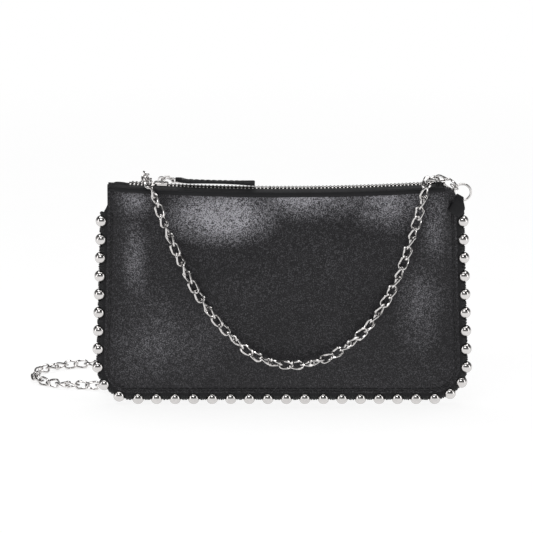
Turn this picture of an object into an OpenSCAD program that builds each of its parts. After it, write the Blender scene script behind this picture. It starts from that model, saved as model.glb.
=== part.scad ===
// Slim zip pouch with ball beads strung along its edge and a chain strap.
// It stands on its bottom beads. +X is to the right, +Y to the back, +Z up.

/* [Pouch] */
// Half width of the bead line at the bottom corners
bead_line_half = 103; // [95:0.5:110]
// Half width of the bead line at its top ends
bead_line_top_half = 100.2; // [95:0.1:108]
// Height of the zip line in the middle of the pouch
zip_mid_z = 124; // [118:0.5:130]
// Radius of the gentle sag of the zip line
zip_sag_r = 1300; // [1000:50:3000]
// Fullness of the soft panels at the middle
panel_fullness = 3.3; // [2.6:0.1:4]
// Half thickness of the sewn edge
edge_half = 1.7; // [1.5:0.1:2]

/* [Beads] */
// Diameter of a bead
bead_d = 6.6; // [5:0.1:6.8]
// Bore through a bead
bead_bore_d = 1.6; // [1.4:0.1:2]
// Spacing of the beads along the bottom
bead_pitch = 10.4; // [9.5:0.1:10.6]
// Thickness of the cord that strings the beads
bead_cord_d = 1; // [0.6:0.1:1.1]

/* [Zip] */
// Spacing of the teeth on one side
tooth_pitch = 2.1; // [1.8:0.05:2.4]
// Half length of the row of teeth
zip_half = 84; // [80:1:85]

/* [Strap chain] */
// Width of a chain link, and so of the chain
chain_d = 5; // [4:0.1:5.2]
// Radius of the coil of spare chain
coil_r = 28; // [26:0.5:30]

/* [Rings] */
// Mean radius of the strap rings
ring_r = 4.6; // [4.4:0.1:4.8]
// Wire thickness of the strap rings
ring_wire_d = 1.3; // [1:0.1:1.4]

/* [Hidden] */
$fn = 32;
corner_r = 19;                    // corner of the bead line
bead_z = bead_d / 2;
bead_row_half = 8 * bead_pitch;   // centre bead to the last of the bottom row
bead_row_shift = 2.4;             // the bottom row sits a little to the right
column_foot_z = bead_z + corner_r;
column_top_z = 105.4;
side_beads = 9;
panel_inset = 3.4;                // bead line to the edge of the panels
stitch_inset = 5.7;               // bead line to the topstitching
welt_inset = 9;                   // bead line to the hidden edge of the welt
welt_top_z = 116;
outer_t = 1;                      // outer leathercloth
panel_z0 = bead_z + panel_inset;
panel_top_drop = 1.6;             // panel edge below the zip line
nominal_top_z = 125.5;
margin = 0.96;                    // share of the half width that may bulge
mouth_half = 3.7;                 // bulge left at the mouth
front_corner_r = 8.5;
front_corner_z = 117;
flat_top = 0.96;                  // above this share of the height the panels run straight up
mid_gap = 0.15;                   // inner layers stay this far from the middle plane
sag_centre_z = zip_mid_z + zip_sag_r;
slider_x = -67;
arc_fn = 1440;
silver = "silver";
black = [0.08, 0.08, 0.09];

// ---- outline of the bead line, as a path inset by some distance ----

function side_half(z) =
    z < column_foot_z ? bead_line_half :
    bead_line_half + (bead_line_top_half - bead_line_half)
        * (z - column_foot_z) / (column_top_z - column_foot_z);

function edge_path(inset, top_z) =
    let (r = corner_r - inset, cx = bead_line_half - corner_r, cz = column_foot_z)
    let (right = concat(
        [for (a = [-90:9:0]) [cx + r * cos(a), cz + r * sin(a)]],
        [[side_half(top_z) - inset, top_z]]))
    concat([for (i = [len(right) - 1:-1:0]) [-right[i][0], right[i][1]]], right);

// A place on the bead line by its distance from the middle of the bottom, with the
// direction of the line there: [x, z, angle].
arc_start = bead_line_half - corner_r;
arc_len = corner_r * PI / 2;
lean = atan2(bead_line_half - bead_line_top_half, column_top_z - column_foot_z);

function on_bead_line(s) =
    s < arc_start ? [s, bead_z, 0] :
    s < arc_start + arc_len ?
        let (a = (s - arc_start) / corner_r * 180 / PI)
        [arc_start + corner_r * sin(a), column_foot_z - corner_r * cos(a), a] :
    let (d = s - arc_start - arc_len)
    [bead_line_half - d * sin(lean), column_foot_z + d * cos(lean), 90 + lean];

side_bead_first = arc_start + arc_len - 0.8;
side_bead_last = arc_start + arc_len + (column_top_z - column_foot_z) / cos(lean);
side_bead_pitch = (side_bead_last - side_bead_first) / (side_beads - 1);

// Two beads round the corner, from the end of the bottom row, then the column.
function side_bead_places(row_end) =
    let (gap = (side_bead_first - row_end) / 3)
    concat([for (i = [1, 2]) row_end + i * gap],
        [for (i = [0:side_beads - 1]) side_bead_first + i * side_bead_pitch]);
right_bead_places = side_bead_places(bead_row_half + bead_row_shift);
left_bead_places = [for (p = side_bead_places(bead_row_half - bead_row_shift)) -p];
bottom_bead_places = [for (i = [-8:8]) bead_row_shift + i * bead_pitch];

// ---- soft panels: a crowned sheet between two depths ----

function zip_line_z(x) = sag_centre_z - sqrt(zip_sag_r * zip_sag_r - x * x);

function panel_left(z) =
    z < column_foot_z ?
        let (r = corner_r - panel_inset, d = column_foot_z - z)
        bead_line_half - corner_r + sqrt(max(0, r * r - d * d)) :
    side_half(min(z, column_top_z)) - panel_inset;

// The back panel's right top corner is cut back for the strap ring; the front one is round.
function back_right(z) = z < 112 ? panel_left(z) : panel_left(z) - 0.5 * (z - 112);
function front_right(z) =
    let (rise = z - front_corner_z)
    rise < 0 ? panel_left(z) :
    panel_left(z) - front_corner_r + sqrt(max(0, front_corner_r * front_corner_r - rise * rise));

function swell(u, t) =
    let (t2 = max(0, (t - 0.03) / 0.97))
    let (across = max(0, 1 - pow(abs(u) / margin, 3.5 + 20 * pow(t, 4))))
    across * (mouth_half * sqrt(t2) + panel_fullness * sin(180 * min(1, t2 / flat_top)));

// u runs -1 to 1 across, t runs 0 to 1 up; depth is measured in from the outer face.
function sheet_point(u, t, depth, top_drop, round_corner) =
    let (z_nominal = panel_z0 + t * (nominal_top_z - panel_z0))
    let (x = u < 0 ? u * panel_left(z_nominal) :
        u * (round_corner ? front_right(z_nominal) : back_right(z_nominal)))
    let (z = panel_z0 + t * (zip_line_z(x) - top_drop - panel_z0))
    [x, -(edge_half + swell(u, t) - depth), z];

module crowned_sheet(depth_a, depth_b, reach, t0, t1, across, up, top_drop = panel_top_drop,
        round_corner = false) {
    function spread(k) = sin(90 * k);          // closer spacing near the sides
    us = [for (i = [0:across]) reach * spread(2 * i / across - 1)];
    ts = [for (j = [0:up]) t0 + (t1 - t0) * (1 - cos(180 * j / up)) / 2];
    n = across + 1;
    layer = n * (up + 1);
    points = concat(
        [for (t = ts) for (u = us) sheet_point(u, t, depth_a, top_drop, round_corner)],
        [for (t = ts) for (u = us) sheet_point(u, t, depth_b, top_drop, round_corner)]);
    front = [for (j = [0:up - 1]) for (i = [0:across - 1])
        let (a = j * n + i)
        each [[a, a + n, a + n + 1], [a, a + n + 1, a + 1]]];
    back = [for (f = front) [layer + f[2], layer + f[1], layer + f[0]]];
    rim = concat(
        [for (i = [0:across]) i],
        [for (j = [1:up]) j * n + across],
        [for (i = [across - 1:-1:0]) up * n + i],
        [for (j = [up - 1:-1:1]) j * n]);
    m = len(rim);
    walls = [for (k = [0:m - 1])
        let (a = rim[k], b = rim[(k + 1) % m])
        each [[a, b, layer + b], [a, layer + b, layer + a]]];
    polyhedron(points, concat(front, back, walls));
}

module to_back() { mirror([0, 1, 0]) children(); }

// Keeps only what lies in front of the middle plane of the pouch.
module front_half() {
    intersection() {
        children();
        translate([-bead_line_half, -20 - mid_gap, 0]) cube([2 * bead_line_half, 20, nominal_top_z]);
    }
}

module front_panel() {
    color(black) crowned_sheet(0, outer_t, 1, 0, 1, 22, 16, round_corner = true);
}
module back_panel() { color(black) to_back() crowned_sheet(0, outer_t, 1, 0, 1, 22, 14); }

module front_stiffener() {
    color("dimgray") front_half() crowned_sheet(1.3, 2, 0.88, 0.1, 0.9, 14, 8);
}
module back_stiffener() { to_back() front_stiffener(); }

lining_top = 0.938;               // sewn to the lower edge of the zip tape

module front_lining() {
    color("darkslategray") front_half() crowned_sheet(2.3, 2.8, 0.86, 0.11, lining_top, 14, 8);
}
module back_lining() { to_back() front_lining(); }

module slip_pocket() {
    color("darkslategray") to_back() crowned_sheet(3.2, 3.6, 0.45, 0.25, 0.75, 10, 6);
}

// ---- edge: welt, beads, the cord that strings them, topstitching ----

knot_r = 1.1;
cord_tail = 4.5;                  // last bead to the cord's end knot
knot_place = on_bead_line(side_bead_last + cord_tail);

module edge_welt() {
    color(black) rotate([90, 0, 0]) linear_extrude(1.3, center = true) difference() {
        outer = edge_path(0.75, welt_top_z - 6);
        inner = edge_path(welt_inset, welt_top_z);
        polygon(concat(outer, [for (i = [len(inner) - 1:-1:0]) inner[i]]));
        for (s = concat(bottom_bead_places, right_bead_places, left_bead_places))
            let (p = on_bead_line(abs(s)))
            translate([s < 0 ? -p[0] : p[0], p[1]]) circle(d = bead_d + 0.3);
        for (m = [-1, 1]) translate([m * knot_place[0], knot_place[1]]) circle(r = knot_r + 0.2);
    }
}

module bead(s) {
    p = on_bead_line(abs(s));
    mirror([s < 0 ? 1 : 0, 0, 0]) translate([p[0], 0, p[1]]) rotate([0, -p[2], 0])
        difference() {
            sphere(d = bead_d);
            rotate([0, 90, 0]) cylinder(d = bead_bore_d, h = bead_d + 1, center = true);
        }
}

module bottom_beads() { color(silver) for (s = bottom_bead_places) bead(s); }
module right_beads() { color(silver) for (s = right_bead_places) bead(s); }
module left_beads() { color(silver) for (s = left_bead_places) bead(s); }

module bead_cord() {
    side = (column_top_z - column_foot_z) / cos(lean) + cord_tail;
    color(black) {
        translate([-arc_start, 0, bead_z]) rotate([0, 90, 0])
            cylinder(d = bead_cord_d, h = 2 * arc_start);
        for (m = [0, 1]) mirror([m, 0, 0]) {
            translate([arc_start, 0, column_foot_z]) rotate([90, 0, 0]) rotate([0, 0, -90])
                rotate_extrude(angle = 90) translate([corner_r, 0]) circle(d = bead_cord_d);
            translate([bead_line_half, 0, column_foot_z]) rotate([0, -lean, 0])
                cylinder(d = bead_cord_d, h = side);
            translate([knot_place[0], 0, knot_place[1]]) sphere(r = knot_r);
        }
    }
}

stitch_pitch = 3.2;
stitch_len = 2.3;
stitch_arc_r = corner_r - stitch_inset;
stitch_arc_start = bead_line_half - corner_r;
stitch_arc_len = stitch_arc_r * PI / 2;

module stitch_at(s) {
    side_s = s - stitch_arc_start - stitch_arc_len;
    a = (s - stitch_arc_start) / stitch_arc_r * 180 / PI;
    place = s < stitch_arc_start ? [s, bead_z + stitch_inset, 0] :
        side_s < 0 ? [stitch_arc_start + stitch_arc_r * sin(a),
                      column_foot_z - stitch_arc_r * cos(a), a] :
        [bead_line_half - stitch_inset - side_s * sin(lean), column_foot_z + side_s, 90 + lean];
    translate([place[0], -(edge_half + 0.55), place[1]]) rotate([0, -place[2], 0])
        rotate([0, 90, 0]) cylinder(d = 0.6, h = stitch_len, center = true);
}

module front_topstitching() {
    total = stitch_arc_start + stitch_arc_len + 88;
    count = floor(total / stitch_pitch);
    color("black") for (m = [0, 1]) mirror([m, 0, 0])
        for (i = [0:count - 1]) stitch_at((i + 0.5) * stitch_pitch);
}
module back_topstitching() { to_back() front_topstitching(); }

// ---- zip: everything here follows the sagging zip line ----

// Sweeps a (y, z) outline along the zip line between two distances from the middle.
module along_zip(x0, x1) {
    a0 = asin(x0 / zip_sag_r);
    a1 = asin(x1 / zip_sag_r);
    translate([0, 0, sag_centre_z]) rotate([90, 0, 0]) rotate([0, 0, a0 - 90])
        rotate_extrude(angle = a1 - a0, $fn = arc_fn) translate([zip_sag_r, 0]) mirror([0, 1])
            rotate([0, 0, 90]) children();
}

module at_zip(x) {
    translate([0, 0, sag_centre_z]) rotate([0, -asin(x / zip_sag_r), 0])
        translate([0, 0, -zip_sag_r]) children();
}

band_left = -96.6;
band_right = 89;

module front_top_band() {
    color(black) along_zip(band_left, band_right)
        translate([-6.5, -4.4]) square([0.95, 3.4]);
}
module back_top_band() { to_back() front_top_band(); }

module front_zip_tape() {
    color(black) {
        // level beside the teeth, then sloping down to the band
        along_zip(-84.8, 84.8) polygon([
            [-1.95, 0.3], [-3.2, 0.3], [-5, -1], [-5, -1.5], [-3.2, -0.3], [-1.95, -0.3]]);
        along_zip(-74, 74) translate([-4, -8]) square([0.4, 7.6]);
    }
}
module back_zip_tape() { to_back() front_zip_tape(); }

tooth_size = [0.95, 1.9, 2];
module tooth_row(shift) {
    count = floor(zip_half / tooth_pitch);
    color(silver) for (i = [-count:count - 1]) at_zip((i + shift) * tooth_pitch)
        translate([0, -0.36 - tooth_size[1] / 2, 0]) difference() {
            cube(tooth_size, center = true);
            translate([0, -0.9, 0]) cube([2, 0.8, 0.62], center = true);
        }
}
module front_zip_teeth() { tooth_row(0.25); }
module back_zip_teeth() { to_back() tooth_row(0.75); }

module end_cover_profile() {
    polygon([[-5.4, -1.5], [-5.4, -1.1], [-2.2, 0.4], [2.2, 0.4], [5.4, -1.1], [5.4, -1.5]]);
}

module left_end_cover() {
    color(black) along_zip(-96.5, -84.9) end_cover_profile();
}
module right_end_cover() {
    color(black) along_zip(84.9, 88.3) end_cover_profile();
}

// ---- slider, pull ring, clasp and leather pull ----

slider_len = 8;
slider_half_w = 3.3;
plate_t = 0.8;
channel_half = 1.25;          // clear of the teeth above and below

module slider_plate() {
    linear_extrude(plate_t) intersection() {
        square([slider_len, 2 * slider_half_w], center = true);
        union() {
            translate([-slider_len / 2 + slider_half_w, 0]) circle(r = slider_half_w + 0.2);
            translate([1, 0]) square([slider_len - 2, 2 * slider_half_w - 1.2], center = true);
        }
    }
}

module slider_body() {
    color(silver) at_zip(slider_x) {
        translate([0, 0, channel_half]) slider_plate();
        translate([0, 0, -channel_half - plate_t]) slider_plate();
        // the thin post between the two rows
        translate([-slider_len / 2 + 0.8, -0.22, -channel_half - 0.1])
            cube([1.6, 0.44, 2 * channel_half + 0.2]);
        // turned rims, open for the tape
        for (side = [-1, 1]) for (level = [0.5, -channel_half])
            translate([-2, side * 2.63 - 0.16, level]) cube([4.6, 0.32, channel_half - 0.5]);
    }
}

bridge_r = 1.5;
bridge_z = channel_half + plate_t;
pivot_h = bridge_z + 1.05;    // height of the pull ring's wire in the bridge

module slider_bridge() {
    color(silver) at_zip(slider_x) translate([0, 0, bridge_z]) {
        translate([0, 0, 0.9]) rotate([90, 0, 0]) difference() {
            intersection() {
                union() {
                    cylinder(r = bridge_r + 0.6, h = 2, center = true);
                    translate([0, -0.45, 0]) cube([2 * bridge_r + 1.2, 0.9, 2], center = true);
                }
                translate([0, 2.1, 0]) cube(6, center = true);
            }
            cylinder(r = bridge_r - 0.15, h = 3, center = true);
            translate([0, -0.45, 0]) cube([2 * bridge_r - 0.3, 0.9, 3], center = true);
        }
    }
}

// Pull ring: an oval wire link lying to the right, its left bar under the bridge.
ring_bar_half = 2.6;
pull_ring_len = 5.4;
pull_wire_d = 1;

module wire_bar(x0, y0, x1, y1) {
    len = norm([x1 - x0, y1 - y0]);
    translate([x0, y0, 0]) rotate([0, 0, atan2(y1 - y0, x1 - x0)]) rotate([0, 90, 0])
        cylinder(d = pull_wire_d, h = len);
}

module oval_link(length, half_w) {
    for (y = [-half_w, half_w]) wire_bar(half_w, y, length - half_w, y);
    translate([half_w, 0, 0]) rotate([0, 0, 90])
        rotate_extrude(angle = 180) translate([half_w, 0]) circle(d = pull_wire_d);
    translate([length - half_w, 0, 0]) rotate([0, 0, -90])
        rotate_extrude(angle = 180) translate([half_w, 0]) circle(d = pull_wire_d);
}

module pull_ring() {
    color(silver) at_zip(slider_x) translate([0, 0, pivot_h]) oval_link(pull_ring_len + 1.2, ring_bar_half);
}

// Clasp: a folded metal loop round the ring's right end that grips the leather pull.
clasp_x = pull_ring_len + 1.2;
clasp_w = 2;
module pull_clasp() {
    color(silver) at_zip(slider_x) translate([clasp_x, 0, pivot_h]) {
        rotate([90, 0, 0]) difference() {
            union() {
                cylinder(r = 1.4, h = clasp_w, center = true);
                translate([3, 0, 0]) cube([6, 2.4, clasp_w], center = true);
            }
            cylinder(r = 0.85, h = 4, center = true);
            translate([5, 0, 0]) cube([4.1, 1.5, 4], center = true);
        }
    }
}

pull_start = clasp_x + 3.2;
pull_len = 44;
pull_half_w = 5.2;
module leather_pull() {
    color(black) at_zip(slider_x) translate([pull_start, 0, pivot_h])
        translate([0, 0, -0.7]) linear_extrude(1.4) polygon([
            [0, -1.4], [0, 1.4], [3.2, 1.4], [6, pull_half_w - 0.8],
            [pull_len - 8, pull_half_w - 0.8], [pull_len, pull_half_w],
            [pull_len, -pull_half_w], [pull_len - 8, 0.8 - pull_half_w],
            [6, 0.8 - pull_half_w], [3.2, -1.4]]);
}

module pull_stitching() {
    color("black") at_zip(slider_x) translate([pull_start, 0, pivot_h + 0.95])
        for (i = [0:10]) for (y = [-3.4, 3.4])
            translate([7.5 + i * 3.2, y, 0]) rotate([0, 90, 0]) cylinder(d = 0.4, h = 2.2);
}

// ---- strap tabs, rings and end links ----

module wire_ring(r, d) { rotate_extrude() translate([r, 0]) circle(d = d); }

tab_angle = 30;
right_grip = [97.4, 0.35, 117.4];         // where the ring passes through the tab
tab_t = 0.9;
tab_inner = edge_half + 0.4;
tab_loop_w = 4.2;
ring_slack = 0.4;                      // ring's wire to the middle of the tab's fold
right_ring_centre = right_grip + (ring_r + ring_slack) * [sin(tab_angle), 0, cos(tab_angle)];

module right_tab() {
    color(black) translate([right_grip[0], 0, right_grip[2]]) rotate([0, tab_angle, 0]) {
        rotate([90, 0, 90]) linear_extrude(tab_loop_w, center = true) difference() {
            union() {
                circle(r = tab_inner + tab_t);
                translate([-tab_inner - tab_t, -4]) square([2 * (tab_inner + tab_t), 4]);
            }
            circle(r = tab_inner);
            translate([-tab_inner, -5]) square([2 * tab_inner, 5]);
        }
        for (side = [-1, 1]) translate([-2, side * (tab_inner + tab_t / 2) - tab_t / 2, -6.4])
            cube([7.2, tab_t, 4]);
    }
}

module right_ring() {
    color(silver) translate(right_ring_centre) rotate([90, 0, 0]) wire_ring(ring_r, ring_wire_d);
}

end_link_r = 2.3;
end_link_wire_d = 1.1;
end_link_out = ring_r + 0.9;           // ring's middle to the end link's middle
right_pull_angle = 56;                 // the chain leaves the right ring up and to the left

module right_end_link() {
    color(silver) translate(right_ring_centre) rotate([0, -right_pull_angle, 0])
        translate([0, 0, end_link_out]) rotate([0, 90, 0]) wire_ring(end_link_r, end_link_wire_d);
}

left_grip = [-91, 5.95, 112];
left_tab_inner = 1;
left_tab_t = 0.7;
left_ring_centre = left_grip - [0, 0, ring_r - 0.3];

module left_tab() {
    outer = left_tab_inner + left_tab_t;
    color(black) translate(left_grip) rotate([90, 0, 90]) linear_extrude(4.4, center = true)
        difference() {
            union() {
                circle(r = outer);
                translate([-outer, 0]) square([2 * outer, 6]);
            }
            circle(r = left_tab_inner);
            translate([-left_tab_inner, 0]) square([2 * left_tab_inner, 2]);
        }
}

module left_ring() {
    color(silver) translate(left_ring_centre) rotate([90, 0, 0]) wire_ring(ring_r, ring_wire_d);
}

module left_end_link() {
    color(silver) translate(left_ring_centre - [0, 0, end_link_out]) rotate([0, 90, 0])
        wire_ring(end_link_r, end_link_wire_d);
}

// ---- strap chain: plain tubes along hand-chosen routes ----

top_route = [[91.6, 0.2, 127.6], [89.6, -0.3, 130], [86.5, -1.5, 130.8], [83.6, -3.6, 130.4],
    [81.3, -5.4, 130]];

swag_route = [[80.2, -7.3, 129.6], [79.4, -9.1, 127.6], [78.6, -9.8, 124.5], [77, -10, 118],
    [74.2, -10, 107], [70.4, -10, 94], [65.5, -10, 79], [60, -10, 66.5], [54, -10, 56.5],
    [46.5, -10, 46], [37, -10, 37], [26, -10, 30], [14, -10, 26], [3, -10, 25.4], [-8, -10, 27.5],
    [-18, -10, 32.5], [-27, -10, 40.5], [-36.5, -10, 51], [-45, -10, 63], [-52, -10, 75.5],
    [-58.5, -10, 90], [-64, -10, 103], [-68.5, -10, 116], [-71.6, -9.8, 124.5], [-73.2, -9.1, 127.4],
    [-74, -7.3, 129.4]];

back_route = [[-74.5, -5.3, 129.9], [-75, -2.6, 129.9], [-75.4, 0, 129.9], [-75.8, 4.2, 129.9],
    [-76, 7.6, 128.9], [-76.2, 9.6, 125], [-76.5, 10, 112], [-76.8, 10, 98], [-77, 10, 84],
    [-77.2, 10.1, 70], [-77.2, 10.4, 56], [-77, 11, 42], [-76.4, 12.6, 28], [-74.5, 15.4, 16],
    [-70, 19, 8.5], [-62, 23.5, 6], [-53, 27.5, 7], [-44, 29.8, 7.8]];

coil_centre = [-35, 58];
swing_axis = [-6.6, 129.6];
swing_pin_d = 1.8;

floor_route = [[-47, 87.6, 2.6], [-58, 86.4, 2.6], [-70, 82.5, 2.6], [-83, 79, 2.6], [-96, 77.5, 2.6],
    [-109, 76.5, 2.6], [-122, 74, 2.6], [-133, 68, 2.6], [-139.5, 59, 2.6], [-140.5, 48, 2.6],
    [-136, 39, 2.6], [-126, 33, 2.6], [-114.5, 30.3, 2.6], [-103.5, 28, 3], [-97.5, 23.5, 5.4],
    [-94, 18.5, 12], [-92.6, 15.2, 22], [-92, 13, 34], [-91.6, 11.6, 48], [-91.3, 10.4, 62],
    [-91.1, 9.3, 76], [-91, 8.2, 88], [-91, 7, 98]];

function unit(v) = v / norm(v);
function route_dir(p, i) = unit(p[min(i + 1, len(p) - 1)] - p[max(i - 1, 0)]);
// Carries one sideways direction along the route so that the tube never twists.
function side_dirs(p, i = 0, last = [0.31, 0.83, 0.46]) =
    i == len(p) ? [] :
    let (t = route_dir(p, i), n = unit(last - (last * t) * t))
    concat([n], side_dirs(p, i + 1, n));

module tube(route, d) {
    sides = 8;
    count = len(route);
    normals = side_dirs(route);
    points = [for (i = [0:count - 1]) for (k = [0:sides - 1])
        let (n = normals[i], b = cross(route_dir(route, i), n), a = 360 * k / sides)
        route[i] + d / 2 * (cos(a) * n + sin(a) * b)];
    walls = [for (i = [0:count - 2]) for (k = [0:sides - 1])
        let (a = i * sides + k, b = i * sides + (k + 1) % sides)
        each [[a, a + sides, b + sides], [a, b + sides, b]]];
    first = [for (k = [0:sides - 1]) k];
    last = [for (k = [sides - 1:-1:0]) (count - 1) * sides + k];
    polyhedron(points, concat(walls, [first, last]));
}

module chain_top() { color(silver) tube(top_route, chain_d); }
module chain_swag() {
    color(silver) {
        tube(swag_route, chain_d);
        // short pins on the line that the drop swings about
        for (x = [77.2, -76.5]) translate([x, swing_axis[0], swing_axis[1]]) rotate([0, 90, 0])
            cylinder(d = swing_pin_d, h = 3);
    }
}
module chain_back() { color(silver) tube(back_route, chain_d); }
module chain_floor() { color(silver) tube(floor_route, chain_d); }
module chain_coil() {
    color(silver) translate([coil_centre[0], coil_centre[1], 0]) rotate_extrude($fn = 72)
        translate([coil_r - chain_d / 2, 0]) square([chain_d, 2 * chain_d + 0.3]);
}

front_panel();
back_panel();
front_stiffener();
back_stiffener();
front_lining();
back_lining();
slip_pocket();
edge_welt();
bottom_beads();
left_beads();
right_beads();
bead_cord();
front_topstitching();
back_topstitching();
front_top_band();
back_top_band();
front_zip_tape();
back_zip_tape();
front_zip_teeth();
back_zip_teeth();
left_end_cover();
right_end_cover();
slider_body();
slider_bridge();
pull_ring();
pull_clasp();
leather_pull();
pull_stitching();
right_tab();
right_ring();
right_end_link();
left_tab();
left_ring();
left_end_link();
chain_top();
chain_swag();
chain_back();
chain_coil();
chain_floor();
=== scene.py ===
"""A slim black zip pouch with silver ball beads strung along its edge and a chain strap."""

import math
import random

import bpy
from mathutils import Matrix, Vector, noise


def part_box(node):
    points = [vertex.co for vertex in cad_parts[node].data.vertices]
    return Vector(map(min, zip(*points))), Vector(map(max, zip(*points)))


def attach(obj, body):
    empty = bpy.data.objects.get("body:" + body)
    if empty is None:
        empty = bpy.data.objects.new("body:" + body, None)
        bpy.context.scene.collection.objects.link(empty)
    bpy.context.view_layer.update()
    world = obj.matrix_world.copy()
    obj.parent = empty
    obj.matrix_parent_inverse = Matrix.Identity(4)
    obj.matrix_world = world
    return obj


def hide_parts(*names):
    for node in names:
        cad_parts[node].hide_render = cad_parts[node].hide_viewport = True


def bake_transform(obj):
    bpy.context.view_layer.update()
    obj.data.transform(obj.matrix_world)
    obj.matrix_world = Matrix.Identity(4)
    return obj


bl_info = {
    "name": "Chain Wallet",
    "version": (1, 0, 0),
    "blender": (4, 5, 0),
    "location": "View3D > Sidebar > Chain Wallet",
    "description": "Builds a beaded zip pouch with a chain strap around its packed frame",
    "category": "Object",
}

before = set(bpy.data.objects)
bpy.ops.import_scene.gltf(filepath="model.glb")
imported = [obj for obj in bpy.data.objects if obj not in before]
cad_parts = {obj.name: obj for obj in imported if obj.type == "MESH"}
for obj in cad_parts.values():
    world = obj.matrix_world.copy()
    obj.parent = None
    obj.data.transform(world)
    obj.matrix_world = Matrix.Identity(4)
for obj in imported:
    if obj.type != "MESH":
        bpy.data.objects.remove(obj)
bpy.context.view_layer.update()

MM = 0.001
SIDEBAR_TAB = "Chain Wallet"

# ---- sizes of the pouch, the first ones taken from the frame ----

BEAD_LOW, BEAD_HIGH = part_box("bottom_beads")
BEAD_R = (BEAD_HIGH.z - BEAD_LOW.z) / 2
CORD_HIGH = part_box("bead_cord")[1]
BAND_LOW, BAND_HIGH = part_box("front_top_band")
PANEL_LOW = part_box("front_panel")[0]

BEADS_PER_ROW = 17
BEADS_PER_SIDE = 9
CORNER_BEADS = 2
ROW_SHIFT = (BEAD_LOW.x + BEAD_HIGH.x) / 2
CORNER_R = 19 * MM
CORD_R = 0.5 * MM
LINE_HALF = CORD_HIGH.x - CORD_R          # half width of the bead line at the bottom corners
LINE_TOP_HALF = 100.2 * MM
LINE_FOOT_Z = BEAD_R + CORNER_R
LINE_TOP_Z = 105.4 * MM
COLUMN_START = 0.8 * MM                   # first bead of a column, before the end of the corner
BEAD_PITCH = (BEAD_HIGH.x - BEAD_LOW.x - 2 * BEAD_R) / (BEADS_PER_ROW - 1)

PANEL_INSET = PANEL_LOW.z - BEAD_R        # bead line to the edge of the panels
EDGE_HALF = 1.7 * MM                      # half thickness of the sewn edge
PANEL_T = 1.0 * MM
STITCH_INSET = 5.7 * MM
NOMINAL_TOP_Z = 125.5 * MM
PANEL_TOP_DROP = 1.6 * MM
SWELL_SHARE = 0.96
MOUTH_SWELL = 3.7 * MM
MID_SWELL = 3.3 * MM
FLAT_TOP = 0.96
FRONT_CORNER_R = 8.5 * MM
FRONT_CORNER_Z = 117 * MM
BACK_CUT_Z = 112 * MM
BACK_CUT_SLOPE = 0.5

ZIP_SAG_R = 1.3
ZIP_MID_Z = 124 * MM
SAG_CENTRE_Z = ZIP_MID_Z + ZIP_SAG_R
SLIDER_X = -67 * MM

# painted sheen, where the foil is drawn brightest in place of light reflected off the panel: middle and half
# sizes in millimetres, and strength
PAINTED_SHEEN_PATCHES = (
    (-33, 110, 36, 20, 1.25), (-83, 118, 14, 13, 0.75), (-82, 86, 9, 30, 0.42), (16, 120, 44, 15, 0.9),
    (60, 117, 28, 19, 0.8), (85, 108, 10, 28, 0.5), (76, 56, 16, 30, 0.42), (-70, 36, 46, 36, 0.22),
)

# ---- routes of the strap chain, in millimetres ----


def in_metres(*points):
    return [tuple(size * MM for size in point) for point in points]


CORNER_ROUTE = in_metres(
    (94.2, 0, 125.5), (91.6, 0, 127.4), (89.6, -0.3, 129.2), (86.5, -1.5, 129.9), (83.6, -3.6, 129.9),
    (81.3, -5.4, 129.8),
)

DROP_ROUTE = in_metres(
    (80.2, -7.3, 129.6), (79.4, -9.1, 127.6), (78.6, -9.8, 124.5), (77, -10, 118), (74.2, -10, 107),
    (70.4, -10, 94), (65.5, -10, 79), (60, -10, 66.5), (54, -10, 56.5), (46.5, -10, 46), (37, -10, 37),
    (26, -10, 30), (14, -10, 26), (3, -10, 25.4), (-8, -10, 27.5), (-18, -10, 32.5), (-27, -10, 40.5),
    (-36.5, -10, 51), (-45, -10, 63), (-52, -10, 75.5), (-58.5, -10, 90), (-64, -10, 103),
    (-68.5, -10, 116), (-71.6, -9.8, 124.5), (-73.2, -9.1, 127.4), (-74, -7.3, 129.4),
)

BACK_ROUTE = in_metres(
    (-74.5, -5.3, 129.9), (-75, -2.6, 129.9), (-75.4, 0, 129.9), (-75.8, 4.2, 129.9), (-76, 7.6, 128.9),
    (-76.2, 9.6, 125), (-76.5, 10, 112), (-76.8, 10, 98), (-77, 10, 84), (-77.2, 10.1, 70),
    (-77.2, 10.4, 56), (-77, 11, 42), (-76.4, 12.6, 28), (-74.5, 15.4, 16), (-70, 19, 8.5),
    (-62, 23.5, 6), (-53, 27.5, 7), (-44, 29.8, 7.8),
)

COIL_CENTRE = (-0.035, 0.058)
COIL_R = 0.028

FLOOR_ROUTE = in_metres(
    (-47, 87.6, 2.6), (-58, 86.4, 2.6), (-70, 82.5, 2.6), (-83, 79, 2.6), (-96, 77.5, 2.6),
    (-109, 76.5, 2.6), (-122, 74, 2.6), (-133, 68, 2.6), (-139.5, 59, 2.6), (-140.5, 48, 2.6),
    (-136, 39, 2.6), (-126, 33, 2.6), (-114.5, 30.3, 2.6), (-103.5, 28, 3), (-97.5, 23.5, 5.4),
    (-94, 18.5, 12), (-92.6, 15.2, 22), (-92, 13, 34), (-91.6, 11.6, 48), (-91.3, 10.4, 62),
    (-91.1, 9.3, 76), (-91, 8.2, 88), (-91, 7, 98),
)


# ---- settings that a user would change ----


def length_setting(name, about, size, low, high):
    """A length that a user may change; its numbers are in millimetres."""
    return bpy.props.FloatProperty(name=name, description=about, default=size * MM, min=low * MM,
                                   max=high * MM, subtype="DISTANCE")


def colour_setting(name, about, shade):
    """A colour that a user may change."""
    return bpy.props.FloatVectorProperty(name=name, description=about, default=shade, size=3, min=0.0,
                                         max=1.0, subtype="COLOR")


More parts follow.
